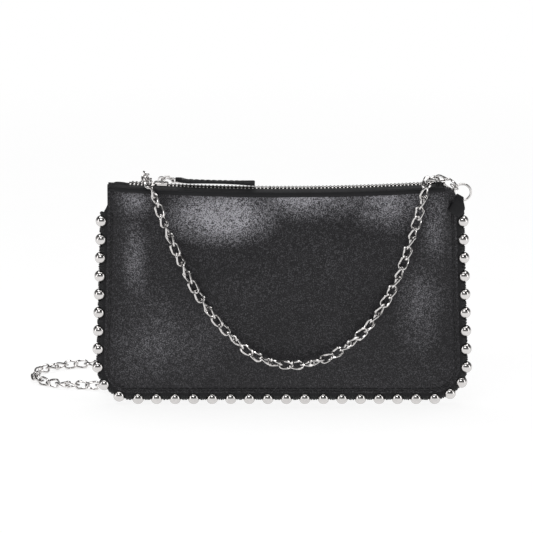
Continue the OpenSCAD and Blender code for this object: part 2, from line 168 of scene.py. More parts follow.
class PouchSettings(bpy.types.PropertyGroup):
    fold_depth: length_setting("Fold depth", "Depth of the soft vertical folds in the panels", 0.45, 0, 1.5)
    dent_depth: length_setting("Dent depth", "Depth of the broad dents in the panels", 0.8, 0, 2)
    seam_groove: length_setting("Seam groove", "How far the topstitching pulls the panel in", 0.45, 0, 1)
    stitch_pitch: length_setting("Stitch pitch", "Length of one stitch and its gap", 3.2, 2, 5)
    cloth_colour: colour_setting("Leathercloth", "Ground colour of the leathercloth",
                                 (0.0055, 0.005, 0.0065))
    # The foil colour is also the colour of the painted sheen on the panels.
    foil_colour: colour_setting("Foil", "Colour of the rubbed metallic foil on the leathercloth",
                                (0.47, 0.465, 0.50))
    trim_colour: colour_setting("Trim", "Colour of the matte leather trim", (0.005, 0.005, 0.006))


class ChainSettings(bpy.types.PropertyGroup):
    wire: length_setting("Wire", "Thickness of the chain's wire", 1.25, 0.8, 2)
    link_length: length_setting("Link length", "Outside length of a link", 9.0, 6, 12)
    link_width: length_setting("Link width", "Outside width of a link", 5.5, 4, 7)
    pitch: length_setting("Pitch", "Distance from one link to the next", 5.9, 4, 9)
    metal_colour: colour_setting("Silver", "Colour of the silver plating", (0.74, 0.72, 0.71))


class StageSettings(bpy.types.PropertyGroup):
    lens: bpy.props.FloatProperty(
        name="Lens", description="Focal length of the camera", default=300.0, min=35.0, max=400.0,
        unit="CAMERA")
    view_width: length_setting("View width", "Width of the view at the pouch", 296.5, 200, 600)
    elevation: bpy.props.FloatProperty(
        name="Elevation", description="Camera's angle above the floor", default=math.radians(14),
        min=0.0, max=math.radians(60), subtype="ANGLE")
    key_power: bpy.props.FloatProperty(
        name="Key power", description="Power of the main light", default=11.0, min=0.0, max=60.0,
        unit="POWER")


# ---- shapes ----


def square_to(direction, along):
    """The part of a direction that is square to another, as a unit vector."""
    return (direction - direction.dot(along) * along).normalized()


def turns(count):
    """Angles spread evenly round a full turn."""
    return [2 * math.pi * k / count for k in range(count)]


def circle(centre, side, along, radius, sides):
    """Points round a centre, square to a direction."""
    up = along.cross(side)
    return [centre + radius * (math.cos(a) * side + math.sin(a) * up) for a in turns(sides)]


class Shape:
    """Points and faces gathered for one mesh."""

    def __init__(self):
        self.points = []
        self.faces = []

    def add(self, points, faces, place=None):
        base = len(self.points)
        self.points += [place @ Vector(p) if place else Vector(p) for p in points]
        self.faces += [tuple(base + i for i in face) for face in faces]

    def loft(self, rings, closed=False):
        """Skins rings of points, each a closed loop with the same count."""
        count = len(rings[0])
        faces = []
        steps = len(rings) if closed else len(rings) - 1
        for i in range(steps):
            here, there = i * count, ((i + 1) % len(rings)) * count
            for k in range(count):
                after = (k + 1) % count
                faces.append((here + k, here + after, there + after, there + k))
        if not closed:
            faces.append(tuple(reversed(range(count))))
            faces.append(tuple(range((len(rings) - 1) * count, len(rings) * count)))
        self.add([p for ring in rings for p in ring], faces)

    def tube(self, path, radius, sides=8, closed=False, first_side=None):
        """A round tube along a path; radius is a number or one for each point."""
        count = len(path)
        radii = radius if isinstance(radius, list) else [radius] * count
        rings = []
        side = first_side
        for i, point in enumerate(path):
            before = path[(i - 1) % count] if closed else path[max(i - 1, 0)]
            after = path[(i + 1) % count] if closed else path[min(i + 1, count - 1)]
            along = (after - before).normalized()
            if side is None:
                side = along.orthogonal()
            side = square_to(side, along)
            rings.append(circle(point, side, along, radii[i], sides))
        self.loft(rings, closed=closed)

    def block(self, size, place, bevel=0.0):
        """A box with cut corners along its third axis and softened ends."""
        hx, hy, hz = (side / 2 for side in size)
        rings = []
        for z, cut in ((-hz, bevel), (-hz + bevel, 0.0), (hz - bevel, 0.0), (hz, bevel)):
            ax, ay = hx - cut, hy - cut
            b = min(bevel, ax, ay) if bevel else 0.0
            ring = [(-ax + b, -ay), (ax - b, -ay), (ax, -ay + b), (ax, ay - b),
                    (ax - b, ay), (-ax + b, ay), (-ax, ay - b), (-ax, -ay + b)]
            rings.append([place @ Vector((x, y, z)) for x, y in ring])
        self.loft(rings)

    def make(self, name, material, body, slot, stands_for=(), smooth_angle=40, riding=True):
        """The finished piece, shaded and riding on its body."""
        mesh = bpy.data.meshes.new(name)
        mesh.from_pydata([tuple(p) for p in self.points], [], self.faces)
        mesh.validate()
        mesh.materials.append(material)
        mesh.shade_smooth()
        mesh.set_sharp_from_angle(angle=math.radians(smooth_angle))
        piece = bpy.data.objects.new(name, mesh)
        bpy.context.scene.collection.objects.link(piece)
        if riding:
            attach(piece, body)
        if stands_for:
            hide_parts(*stands_for)
        return piece


def lofted(rings):
    """A shape skinned over one row of rings."""
    shape = Shape()
    shape.loft(rings)
    return shape


def wave(*place):
    """Smooth noise from -1 to 1 at a place given in its own units."""
    return noise.noise(Vector(place))


def squared(value, power):
    """Pushes a sine or cosine outwards, which squares off the oval it draws."""
    return math.copysign(abs(value) ** power, value)


def smooth_step(low, high, value):
    """Rises from 0 to 1 between two values, level at both ends."""
    t = min(1.0, max(0.0, (value - low) / (high - low)))
    return t * t * (3 - 2 * t)


# ---- the bead line, the zip line and the panels ----


def side_half(z):
    """Half width of the bead line at a height."""
    if z < LINE_FOOT_Z:
        return LINE_HALF
    share = (z - LINE_FOOT_Z) / (LINE_TOP_Z - LINE_FOOT_Z)
    return LINE_HALF + (LINE_TOP_HALF - LINE_HALF) * share


LEAN = math.atan2(LINE_HALF - LINE_TOP_HALF, LINE_TOP_Z - LINE_FOOT_Z)
STRAIGHT = LINE_HALF - CORNER_R
ARC = CORNER_R * math.pi / 2


def on_bead_line(s, inset=0.0):
    """Place, direction and outward normal on the line, s from the middle of the bottom."""
    d = abs(s)
    if d < STRAIGHT:
        place, angle = Vector((d, 0, BEAD_R)), 0.0
    elif d < STRAIGHT + ARC:
        angle = (d - STRAIGHT) / CORNER_R
        place = Vector((STRAIGHT + CORNER_R * math.sin(angle), 0,
                        LINE_FOOT_Z - CORNER_R * math.cos(angle)))
    else:
        angle = math.pi / 2 + LEAN
        rise = d - STRAIGHT - ARC
        place = Vector((LINE_HALF - rise * math.sin(LEAN), 0,
                        LINE_FOOT_Z + rise * math.cos(LEAN)))
    along = Vector((math.cos(angle), 0, math.sin(angle)))
    out = Vector((math.sin(angle), 0, -math.cos(angle)))
    place = place - inset * out
    if s < 0:
        place.x, out.x = -place.x, -out.x
        along.z = -along.z
    return place, along, out


def bead_places():
    """Distances along the bead line, left to right, grouped as the frame groups them."""
    row_end = (BEADS_PER_ROW - 1) / 2 * BEAD_PITCH
    first = STRAIGHT + ARC - COLUMN_START
    last = STRAIGHT + ARC + (LINE_TOP_Z - LINE_FOOT_Z) / math.cos(LEAN)
    column = [first + i * (last - first) / (BEADS_PER_SIDE - 1) for i in range(BEADS_PER_SIDE)]

    def side(start):
        gap = (first - start) / (CORNER_BEADS + 1)
        return [start + (i + 1) * gap for i in range(CORNER_BEADS)] + column

    row = [ROW_SHIFT + (i - (BEADS_PER_ROW - 1) / 2) * BEAD_PITCH for i in range(BEADS_PER_ROW)]
    return {"left_beads": [-s for s in reversed(side(row_end - ROW_SHIFT))], "bottom_beads": row,
            "right_beads": side(row_end + ROW_SHIFT)}


def zip_line_z(x):
    """Height of the zip line, which sags in an arc."""
    return SAG_CENTRE_Z - math.sqrt(ZIP_SAG_R ** 2 - x * x)


def zip_place(x):
    """Frame on the zip line: its X runs along the zip and its Z points up out of it."""
    turn = math.asin(x / ZIP_SAG_R)
    return (Matrix.Translation((0, 0, SAG_CENTRE_Z)) @ Matrix.Rotation(-turn, 4, "Y")
            @ Matrix.Translation((0, 0, -ZIP_SAG_R)))


def panel_half(z, right, front):
    """Half width of a panel at a height; the right top corners are shaped round the ring."""
    if z < LINE_FOOT_Z:
        r = CORNER_R - PANEL_INSET
        return STRAIGHT + math.sqrt(max(0.0, r * r - (LINE_FOOT_Z - z) ** 2))
    half = side_half(min(z, LINE_TOP_Z)) - PANEL_INSET
    if right and front and z > FRONT_CORNER_Z:
        rise = z - FRONT_CORNER_Z
        half += math.sqrt(max(0.0, FRONT_CORNER_R ** 2 - rise ** 2)) - FRONT_CORNER_R
    if right and not front and z > BACK_CUT_Z:
        half -= BACK_CUT_SLOPE * (z - BACK_CUT_Z)
    return half


def swell(u, t):
    """How far a panel stands out from the sewn edge."""
    flat_foot = 0.03
    foot_power, mouth_power = 3.5, 23.5
    t = max(0.0, (t - flat_foot) / (1 - flat_foot))
    power = foot_power + (mouth_power - foot_power) * t ** 4
    across = max(0.0, 1 - (abs(u) / SWELL_SHARE) ** power)
    return across * (MOUTH_SWELL * math.sqrt(t) + MID_SWELL * math.sin(math.pi * min(1.0, t / FLAT_TOP)))


def panel_place(u, t, front):
    """X, Z and swell of a panel point: u runs -1 to 1 across, t runs 0 to 1 up."""
    low = PANEL_LOW.z
    z = low + t * (NOMINAL_TOP_Z - low)
    x = u * panel_half(z, u > 0, front)
    return x, low + t * (zip_line_z(x) - PANEL_TOP_DROP - low), swell(u, t)


def seam_distance(x, z):
    """Distance in from the bead line, roughly, at the sides and the bottom."""
    from_side = side_half(z) - abs(x)
    from_bottom = z - BEAD_R
    if abs(x) > STRAIGHT and z < LINE_FOOT_Z:
        return CORNER_R - math.hypot(abs(x) - STRAIGHT, LINE_FOOT_Z - z)
    return min(from_side, from_bottom)


def panel_relief(x, z, lift, seed, sizes):
    """Folds, dents, puckers and the seam groove, as a height out of the panel."""
    fold_wide, fold_high, bend_size = 13, 85, 30
    crease_wide, crease_high = 6.5, 45
    dent_wide, dent_high = 42, 34
    full_lift = 4 * MM
    groove_half = 0.9 * MM
    pucker_inset, pucker_half = 7.5 * MM, 3.5 * MM
    pucker_depth, pucker_pitch = 0.16 * MM, 4.3
    grain_depth, grain_size = 0.05 * MM, 1.6
    xm, zm = x / MM, z / MM
    soft = smooth_step(0.0, full_lift, lift)
    bend = 0.25 * wave(xm / bend_size, zm / bend_size, seed)
    folds = wave(xm / fold_wide + bend, zm / fold_high, seed + 3.1)
    folds += 0.5 * wave(xm / crease_wide, zm / crease_high, seed + 7.7)
    dents = wave(xm / dent_wide, zm / dent_high, seed + 11.3)
    height = soft * (sizes.fold_depth * folds + sizes.dent_depth * dents)
    seam = seam_distance(x, z)
    height -= sizes.seam_groove * math.exp(-((seam - STITCH_INSET) / groove_half) ** 2)
    pucker = pucker_depth * math.exp(-abs(seam - pucker_inset) / pucker_half)
    shift = 2 * wave(xm / 9, zm / 9, seed)
    height += pucker * math.sin((xm + zm) * 2 * math.pi / pucker_pitch + shift)
    height += grain_depth * wave(xm / grain_size, zm / grain_size, seed + 20)
    return height


# ---- chain links ----


def smooth_route(points, step=0.6 * MM):
    """Points close together on a smooth curve through the route."""
    pts = [Vector(p) for p in points]
    pts = [2 * pts[0] - pts[1]] + pts + [2 * pts[-1] - pts[-2]]
    out = []
    for a, b, c, d in zip(pts, pts[1:], pts[2:], pts[3:]):
        count = max(2, round((c - b).length / step))
        for k in range(count):
            t = k / count
            out.append(0.5 * (2 * b + (c - a) * t + (2 * a - 5 * b + 4 * c - d) * t * t
                              + (3 * b - a - 3 * c + d) * t ** 3))
    out.append(pts[-2])
    return out


def route_frames(points, spacing, first, first_normal):
    """Places at even distances along a route, with frames that never twist."""
    frames = []
    normal = Vector(first_normal)
    travelled, wanted = 0.0, first
    for a, b in zip(points, points[1:]):
        along = (b - a).normalized()
        normal = square_to(normal, along)
        step = (b - a).length
        while wanted <= travelled + step:
            frames.append((a + along * (wanted - travelled), along, normal.copy()))
            wanted += spacing
        travelled += step
    return frames


def link_loop(sizes, twist):
    """Centreline of one link with the normal of its wire, twisted as a curb link is."""
    half_l = (sizes.link_length - sizes.wire) / 2
    half_w = (sizes.link_width - sizes.wire) / 2
    arc_points, side_points = 8, 3
    loop = []
    for end in (1, -1):
        for k in range(arc_points):
            a = -math.pi / 2 + math.pi * k / (arc_points - 1)
            loop.append((end * (half_l - half_w + half_w * math.cos(a)), end * half_w * math.sin(a)))
        for k in range(1, side_points + 1):
            share = k / (side_points + 1)
            loop.append((end * (half_l - half_w) * (1 - 2 * share), end * half_w))
    out = []
    for x, y in loop:
        turn = twist * x / half_l
        out.append((Vector((x, y * math.cos(turn), y * math.sin(turn))),
                    Vector((0, -math.sin(turn), math.cos(turn)))))
    return out


def add_link(shape, loop, wire, place):
    """One closed link of round wire."""
    sides = 8
    rings = []
    count = len(loop)
    for i, (point, normal) in enumerate(loop):
        along = (loop[(i + 1) % count][0] - loop[i - 1][0]).normalized()
        ring = circle(point, square_to(normal, along), along, wire / 2, sides)
        rings.append([place @ p for p in ring])
    shape.loft(rings, closed=True)


def link_place(point, along, normal, roll):
    """Where a link lies: its length along the route, rolled about it."""
    side = normal.cross(along).normalized()
    basis = Matrix((along, side, normal)).transposed().to_4x4()
    return Matrix.Translation(point) @ basis @ Matrix.Rotation(roll, 4, "X")


def chain_shape(sizes, route, first, normal, seed):
    """Curb links along a route, each turned a little from the last, as in a hanging chain."""
    rng = random.Random(seed)
    twist = math.radians(35)
    step, stray = 45, 9
    loop = link_loop(sizes, twist)
    shape = Shape()
    for i, (point, along, up) in enumerate(route_frames(route, sizes.pitch, first, normal)):
        roll = math.radians(rng.uniform(-stray, stray) - step * i)
        add_link(shape, loop, sizes.wire, link_place(point, along, up, roll))
    return shape


def coil_route():
    """One and a half turns: the first lies on the last half turn, then comes down."""
    high, low = 7.8 * MM, 2.6 * MM
    points = []
    for degrees in range(0, 541, 30):
        fall = min(1.0, max(0.0, (degrees - 180) / 180))
        a = math.radians(degrees - 90)
        points.append((COIL_CENTRE[0] + COIL_R * math.cos(a), COIL_CENTRE[1] + COIL_R * math.sin(a),
                       high + (low - high) * fall))
    return points


# ---- shader groups and materials ----


class Tree:
    """Short calls for adding and joining shader nodes."""

    def __init__(self, tree):
        self.tree = tree

    def node(self, kind, **settings):
        made = self.tree.nodes.new(kind)
        for key, value in settings.items():
            if hasattr(made, key):
                setattr(made, key, value)
            else:
                made.inputs[key.replace("_", " ")].default_value = value
        return made

    def link(self, source, target):
        self.tree.links.new(source, target)

    def math(self, operation, a, b=0.5, clamp=False):
        made = self.tree.nodes.new("ShaderNodeMath")
        made.operation = operation
        made.use_clamp = clamp
        for socket, value in zip(made.inputs, (a, b)):
            if isinstance(value, (int, float)):
                socket.default_value = value
            else:
                self.link(value, socket)
        return made.outputs[0]

    def ramp(self, value, low, high, to_low=0.0, to_high=1.0):
        made = self.node("ShaderNodeMapRange")
        made.clamp = True
        self.link(value, made.inputs["Value"])
        for key, number in (("From Min", low), ("From Max", high), ("To Min", to_low), ("To Max", to_high)):
            made.inputs[key].default_value = number
        return made.outputs["Result"]

    def noise(self, vector, scale, detail=3.0, roughness=0.55):
        made = self.node("ShaderNodeTexNoise")
        self.link(vector, made.inputs["Vector"])
        if isinstance(scale, (int, float)):
            made.inputs["Scale"].default_value = scale
        else:
            self.link(scale, made.inputs["Scale"])
        made.inputs["Detail"].default_value = detail
        made.inputs["Roughness"].default_value = roughness
        return made.outputs["Fac"]

    def mix_colour(self, share, a, b):
        made = self.node("ShaderNodeMix", data_type="RGBA")
        for socket, value in ((made.inputs[0], share), (made.inputs[6], a), (made.inputs[7], b)):
            if isinstance(value, (int, float)):
                socket.default_value = value
            elif isinstance(value, tuple):
                socket.default_value = (*value, 1.0)
            else:
                self.link(value, socket)
        return made.outputs[2]

    def stretched(self, vector, scale):
        made = self.node("ShaderNodeMapping")
        self.link(vector, made.inputs["Vector"])
        made.inputs["Scale"].default_value = scale
        return made.outputs["Vector"]


def new_group(name, settings, outputs):
    """A shared effect that varies over the surface, with its tree and its two end nodes."""
    group = bpy.data.node_groups.new(name, "ShaderNodeTree")
    group.interface.new_socket(name="Vector", in_out="INPUT", socket_type="NodeSocketVector")
    for label, default in settings.items():
        socket = group.interface.new_socket(name=label, in_out="INPUT", socket_type="NodeSocketFloat")
        socket.default_value = default
    for label in outputs:
        group.interface.new_socket(name=label, in_out="OUTPUT", socket_type="NodeSocketFloat")
    return group, Tree(group), group.nodes.new("NodeGroupInput").outputs, group.nodes.new("NodeGroupOutput")


def foil_and_painted_sheen_group():
    """Fine speckled foil over a dark ground, patchy at random, and drawn brighter as painted sheen where its
    sheen input is high.
    """
    name = "Rubbed foil"
    if name in bpy.data.node_groups:
        return bpy.data.node_groups[name]
    settings = {"Speckle Scale": 2000.0, "Patch Scale": 30.0, "Painted Sheen": 0.5}
    group, t, given, out = new_group(name, settings, ("Foil", "Height", "Patch"))
    place = given["Vector"]
    coarse_scale = t.math("MULTIPLY", given["Speckle Scale"], 0.3)
    speckle = t.noise(place, given["Speckle Scale"], 2.0, 0.6)
    coarse = t.noise(place, coarse_scale, 3.0, 0.6)
    patch = t.noise(place, given["Patch Scale"], 3.0, 0.5)
    streak = t.noise(t.stretched(place, (1.0, 1.0, 0.22)), 90.0, 3.0, 0.6)
    blend = t.math("ADD", t.math("MULTIPLY", patch, 0.75), t.math("MULTIPLY", streak, 0.25))
    clouds = t.ramp(blend, 0.36, 0.60, 0.6, 1.0)
    # Painted sheen: the sheen input lifts the random clouds of foil, so more foil shows inside the painted
    # sheen ovals.
    lift = t.math("ADD", given["Painted Sheen"], 0.12)
    patches_and_sheen = t.math("MULTIPLY", clouds, lift, clamp=True)
    level = t.math("ADD", t.math("MULTIPLY", speckle, 0.74), t.math("MULTIPLY", coarse, 0.26))
    edge = t.ramp(patches_and_sheen, 0.0, 1.0, 0.51, 0.43)
    strength = t.ramp(patches_and_sheen, 0.0, 0.9, 0.03, 1.0)
    flecks = t.math("MULTIPLY", t.math("SUBTRACT", level, edge), 8.0, clamp=True)
    # Painted sheen: a smooth brightening laid on top of the flecks.
    sheen = t.math("MULTIPLY", t.math("POWER", patches_and_sheen, 1.5), 0.10)
    foil = t.math("ADD", t.math("MULTIPLY", flecks, strength), sheen, clamp=True)
    t.link(foil, out.inputs["Foil"])
    t.link(level, out.inputs["Height"])
    t.link(patches_and_sheen, out.inputs["Patch"])
    return group


def leather_grain_group():
    """Small rounded pebbles with finer pores, for trim leather."""
    name = "Leather grain"
    if name in bpy.data.node_groups:
        return bpy.data.node_groups[name]
    group, t, given, out = new_group(name, {"Scale": 1500.0}, ("Height", "Mask"))
    place, scale = given["Vector"], given["Scale"]
    cells = t.node("ShaderNodeTexVoronoi", feature="SMOOTH_F1")
    t.link(place, cells.inputs["Vector"])
    t.link(scale, cells.inputs["Scale"])
    pebbles = t.math("MULTIPLY", cells.outputs["Distance"], -0.8)
    pores = t.math("MULTIPLY", t.noise(place, t.math("MULTIPLY", scale, 2.4), 2.0), 0.5)
    t.link(t.math("ADD", pebbles, pores), out.inputs["Height"])
    t.link(t.noise(place, t.math("MULTIPLY", scale, 0.05), 3.0), out.inputs["Mask"])
    return group


def weave_group():
    """Over and under threads for tape, lining and sewing thread."""
    name = "Weave"
    if name in bpy.data.node_groups:
        return bpy.data.node_groups[name]
    group, t, given, out = new_group(name, {"Scale": 400.0}, ("Height", "Mask"))
    place, scale = given["Vector"], given["Scale"]
    waves = []
    for direction in ("X", "Z"):
        strands = t.node("ShaderNodeTexWave", bands_direction=direction, Distortion=0.6, Detail=1.0)
        t.link(place, strands.inputs["Vector"])
        t.link(scale, strands.inputs["Scale"])
        waves.append(strands.outputs["Fac"])
    t.link(t.math("MAXIMUM", waves[0], waves[1]), out.inputs["Height"])
    t.link(t.noise(place, t.math("MULTIPLY", scale, 0.3)), out.inputs["Mask"])
    return group


def handling_group():
    """Faint scratches and clouding on polished metal."""
    name = "Handling marks"
    if name in bpy.data.node_groups:
        return bpy.data.node_groups[name]
    group, t, given, out = new_group(name, {"Scale": 300.0}, ("Marks", "Height"))
    place, scale = given["Vector"], given["Scale"]
    cloud = t.noise(place, scale, 4.0, 0.6)
    scratches = t.noise(t.stretched(place, (1.0, 6.0, 0.5)), t.math("MULTIPLY", scale, 5.0), 3.0, 0.7)
    marks = t.math("ADD", t.math("MULTIPLY", cloud, 0.6), t.math("MULTIPLY", scratches, 0.4))
    t.link(marks, out.inputs["Marks"])
    t.link(scratches, out.inputs["Height"])
    return group


def start_material(name):
    """A new material with its Principled shader and coordinates in metres."""
    material = bpy.data.materials.new(name)
    material.use_nodes = True
    shader = material.node_tree.nodes["Principled BSDF"]
    t = Tree(material.node_tree)
    place = t.node("ShaderNodeTexCoord").outputs["Object"]
    return material, shader, t, place


def use_group(t, group, place, **values):
    made = t.node("ShaderNodeGroup")
    made.node_tree = group
    t.link(place, made.inputs["Vector"])
    for key, value in values.items():
        made.inputs[key.replace("_", " ")].default_value = value
    return made


def add_bump(t, shader, height, depth, strength=1.0):
    bump = t.node("ShaderNodeBump")
    bump.inputs["Distance"].default_value = depth
    bump.inputs["Strength"].default_value = strength
    t.link(height, bump.inputs["Height"])
    t.link(bump.outputs["Normal"], shader.inputs["Normal"])


def soft_patch(t, place, centre_x, centre_z, half_x, half_z, strength):
    """An oval on the face of the panel that fades out to its rim."""
    local = t.node("ShaderNodeMapping")
    t.link(place, local.inputs["Vector"])
    local.inputs["Scale"].default_value = (1 / half_x, 0.0, 1 / half_z)
    local.inputs["Location"].default_value = (-centre_x / half_x, 0.0, -centre_z / half_z)
    reach = t.node("ShaderNodeVectorMath", operation="LENGTH")
    t.link(local.outputs["Vector"], reach.inputs[0])
    return t.ramp(reach.outputs["Value"], 1.0, 0.1, 0.0, strength)


def leathercloth_material():
    name = "Rubbed metallic leathercloth"
    if name in bpy.data.materials:
        return bpy.data.materials[name]
    sizes = bpy.context.scene.wallet_pouch
    material, shader, t, place = start_material(name)
    # Painted sheen: soft ovals that brighten the foil where light would reflect off the panel.
    painted_sheen = 0.0
    for *place_mm, strength in PAINTED_SHEEN_PATCHES:
        patch = soft_patch(t, place, *(size * MM for size in place_mm), strength)
        painted_sheen = t.math("MAXIMUM", painted_sheen, patch)
    inner = t.ramp(t.node("ShaderNodeAttribute", attribute_name="seam").outputs["Fac"],
                   STITCH_INSET, 2.2 * STITCH_INSET, 0.0, 1.0)
    foil = use_group(t, foil_and_painted_sheen_group(), t.stretched(place, (0.85, 1.0, 1.0)))
    t.link(t.math("MULTIPLY", painted_sheen, inner), foil.inputs["Painted Sheen"])
    # Painted sheen: the ground is lifted inside the sheen ovals. The foil laid over it is partly real flecks
    # and partly painted sheen.
    tone = t.mix_colour(foil.outputs["Patch"], tuple(sizes.cloth_colour),
                        tuple(c * 1.8 for c in sizes.cloth_colour))
    shade = t.mix_colour(foil.outputs["Foil"], tone, tuple(sizes.foil_colour))
    t.link(shade, shader.inputs["Base Color"])
    t.link(t.ramp(foil.outputs["Foil"], 0.0, 1.0, 0.0, 0.6), shader.inputs["Metallic"])
    t.link(t.ramp(foil.outputs["Height"], 0.3, 0.7, 0.56, 0.42), shader.inputs["Roughness"])
    shader.inputs["Specular IOR Level"].default_value = 0.3
    add_bump(t, shader, foil.outputs["Height"], 0.15 * MM, 0.9)
    return material


def trim_material():
    name = "Matte black trim leather"
    if name in bpy.data.materials:
        return bpy.data.materials[name]
    colour = tuple(bpy.context.scene.wallet_pouch.trim_colour)
    material, shader, t, place = start_material(name)
    grain = use_group(t, leather_grain_group(), place, Scale=1700.0)
    light = tuple(c * 2.0 for c in colour)
    t.link(t.mix_colour(grain.outputs["Mask"], colour, light), shader.inputs["Base Color"])
    t.link(t.ramp(grain.outputs["Mask"], 0.3, 0.7, 0.62, 0.5), shader.inputs["Roughness"])
    shader.inputs["Specular IOR Level"].default_value = 0.28
    add_bump(t, shader, grain.outputs["Height"], 0.08 * MM, 0.7)
    return material


def woven_material(name, colour, scale, roughness=0.85):
    if name in bpy.data.materials:
        return bpy.data.materials[name]
    material, shader, t, place = start_material(name)
    weave = use_group(t, weave_group(), place, Scale=scale)
    # Painted highlight: the raised threads are drawn lighter than the hollows between them.
    light = tuple(c * 1.9 for c in colour)
    t.link(t.mix_colour(weave.outputs["Height"], colour, light), shader.inputs["Base Color"])
    t.link(t.ramp(weave.outputs["Mask"], 0.2, 0.8, roughness - 0.1, roughness), shader.inputs["Roughness"])
    shader.inputs["Sheen Weight"].default_value = 0.15
    add_bump(t, shader, weave.outputs["Height"], 0.1 * MM, 0.8)
    return material


def silver_material(name, marks_scale=300.0, polish=0.06):
    if name in bpy.data.materials:
        return bpy.data.materials[name]
    colour = tuple(bpy.context.scene.wallet_chain.metal_colour)
    material, shader, t, place = start_material(name)
    marks = use_group(t, handling_group(), place, Scale=marks_scale)
    dull = tuple(c * 0.82 for c in colour)
    share = t.ramp(marks.outputs["Marks"], 0.35, 0.75)
    # Painted shade: the colour darkens towards the rim, where the surface turns away from the camera, in
    # place of a dark reflection.
    rim = t.ramp(t.node("ShaderNodeLayerWeight").outputs["Facing"], 0.55, 1.0)
    shaded = tuple(c * 0.35 for c in colour)
    t.link(t.mix_colour(rim, t.mix_colour(share, colour, dull), shaded), shader.inputs["Base Color"])
    t.link(t.ramp(marks.outputs["Marks"], 0.3, 0.8, polish, polish + 0.14), shader.inputs["Roughness"])
    shader.inputs["Metallic"].default_value = 1.0
    add_bump(t, shader, marks.outputs["Height"], 0.01 * MM, 0.25)
    return material


def thread_material():
    return woven_material("Black sewing thread", (0.008, 0.008, 0.009), 1400.0, 0.75)


def dress_node(node, material):
    """Gives a CAD node its finish."""
    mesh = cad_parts[node].data
    mesh.materials.clear()
    mesh.materials.append(material)


# ---- operators ----


class WALLET_OT_stage(bpy.types.Operator):
    """Pale floor, soft lights and the camera"""

    bl_idname = "wallet.stage"
    bl_label = "Stage"

    def execute(self, context):
        settings = context.scene.wallet_stage
        self.camera(context.scene, settings)
        self.floor()
        self.lights(settings)
        self.world(context.scene)
        context.scene.view_settings.view_transform = "Standard"
        return {"FINISHED"}

    def camera(self, scene, settings):
        data = bpy.data.cameras.new("camera")
        data.lens = settings.lens
        data.sensor_width = 36
        distance = settings.view_width * settings.lens / data.sensor_width
        target = Vector((-8.7 * MM, 0, 79.4 * MM))
        away = Vector((0, -math.cos(settings.elevation), math.sin(settings.elevation)))
        camera = bpy.data.objects.new("camera", data)
        camera.location = target + distance * away
        camera.rotation_euler = (math.pi / 2 - settings.elevation, 0, 0)
        scene.collection.objects.link(camera)
        scene.camera = camera

    def floor(self):
        mesh = bpy.data.meshes.new("floor")
        half = 3.0
        mesh.from_pydata([(-half, -half, 0), (half, -half, 0), (half, half, 0), (-half, half, 0)],
                         [], [(0, 1, 2, 3)])
        material, shader, t, place = start_material("Pale floor")
        reach = t.node("ShaderNodeVectorMath", operation="LENGTH")
        t.link(place, reach.inputs[0])
        far = t.ramp(reach.outputs["Value"], 0.25, 0.9)
        tone = t.noise(place, 30.0)
        near_tone = t.mix_colour(tone, (0.27, 0.27, 0.27), (0.30, 0.30, 0.30))
        t.link(t.mix_colour(far, near_tone, (0.0, 0.0, 0.0)), shader.inputs["Base Color"])
        t.link(t.mix_colour(far, (0.81, 0.81, 0.81), (1.0, 1.0, 1.0)), shader.inputs["Emission Color"])
        shader.inputs["Roughness"].default_value = 0.9
        shader.inputs["Specular IOR Level"].default_value = 0.0
        shader.inputs["Emission Strength"].default_value = 1.0
        mesh.materials.append(material)
        floor = bpy.data.objects.new("floor", mesh)
        bpy.context.scene.collection.objects.link(floor)

    def area(self, name, place, aim, size, power):
        data = bpy.data.lights.new(name, "AREA")
        data.shape = "RECTANGLE"
        data.size, data.size_y = size
        data.energy = power
        lamp = bpy.data.objects.new(name, data)
        lamp.location = place
        lamp.rotation_euler = (Vector(aim) - Vector(place)).to_track_quat("-Z", "Y").to_euler()
        bpy.context.scene.collection.objects.link(lamp)

    def lights(self, settings):
        middle = (0, 0, 0.07)
        power = settings.key_power
        self.area("top_light", (0.0, 0.15, 1.3), middle, (1.6, 1.0), power)
        self.area("front_light", (-0.25, -0.9, 1.0), middle, (0.7, 0.3), 0.25 * power)
        self.area("left_light", (-1.0, -0.35, 0.35), middle, (0.25, 0.9), 0.14 * power)
        self.area("right_light", (1.0, -0.35, 0.35), middle, (0.25, 0.9), 0.14 * power)

    def world(self, scene):
        world = bpy.data.worlds.new("studio")
        scene.world = world
        world.use_nodes = True
        tree = world.node_tree
        tree.nodes.clear()
        t = Tree(tree)
        direction = t.node("ShaderNodeTexCoord").outputs["Generated"]
        split = t.node("ShaderNodeSeparateXYZ")
        t.link(direction, split.inputs[0])
        height = t.ramp(split.outputs["Z"], 0.0, 0.45, 0.55, 0.07)
        seen = t.node("ShaderNodeLightPath").outputs["Is Camera Ray"]
        level = t.math("MAXIMUM", height, seen)
        shader = t.node("ShaderNodeBackground")
        t.link(level, shader.inputs["Strength"])
        out = t.node("ShaderNodeOutputWorld")
        t.link(shader.outputs[0], out.inputs[0])


class WALLET_OT_chain(bpy.types.Operator):
    """Strap chain: the corner, the hanging front drop, and the back with its floor loop and coil"""

    bl_idname = "wallet.chain"
    bl_label = "Strap chain"

    def execute(self, context):
        sizes = context.scene.wallet_chain
        silver = silver_material("Chain silver")
        forward, up = (0, -1, 0), (0, 0, 1)

        corner = chain_shape(sizes, smooth_route(CORNER_ROUTE), 1.5 * MM, forward, 5)
        corner_links = corner.make("chain_corner_links", silver, "bag", "chain_metal", ["chain_top"],
                                   riding=False)
        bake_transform(corner_links)

        drop = smooth_route(DROP_ROUTE)
        drop_links = chain_shape(sizes, drop, 1.0 * MM, forward, 2).make(
            "chain_drop_links", silver, "chain_drop", "chain_metal", ["chain_swag"])

        back = smooth_route(BACK_ROUTE + coil_route()[1:] + FLOOR_ROUTE)
        back_links = chain_shape(sizes, back, 1.5 * MM, up, 3).make(
            "chain_back_links", silver, "bag", "chain_metal", ["chain_back", "chain_coil", "chain_floor"])
        return {"FINISHED"}


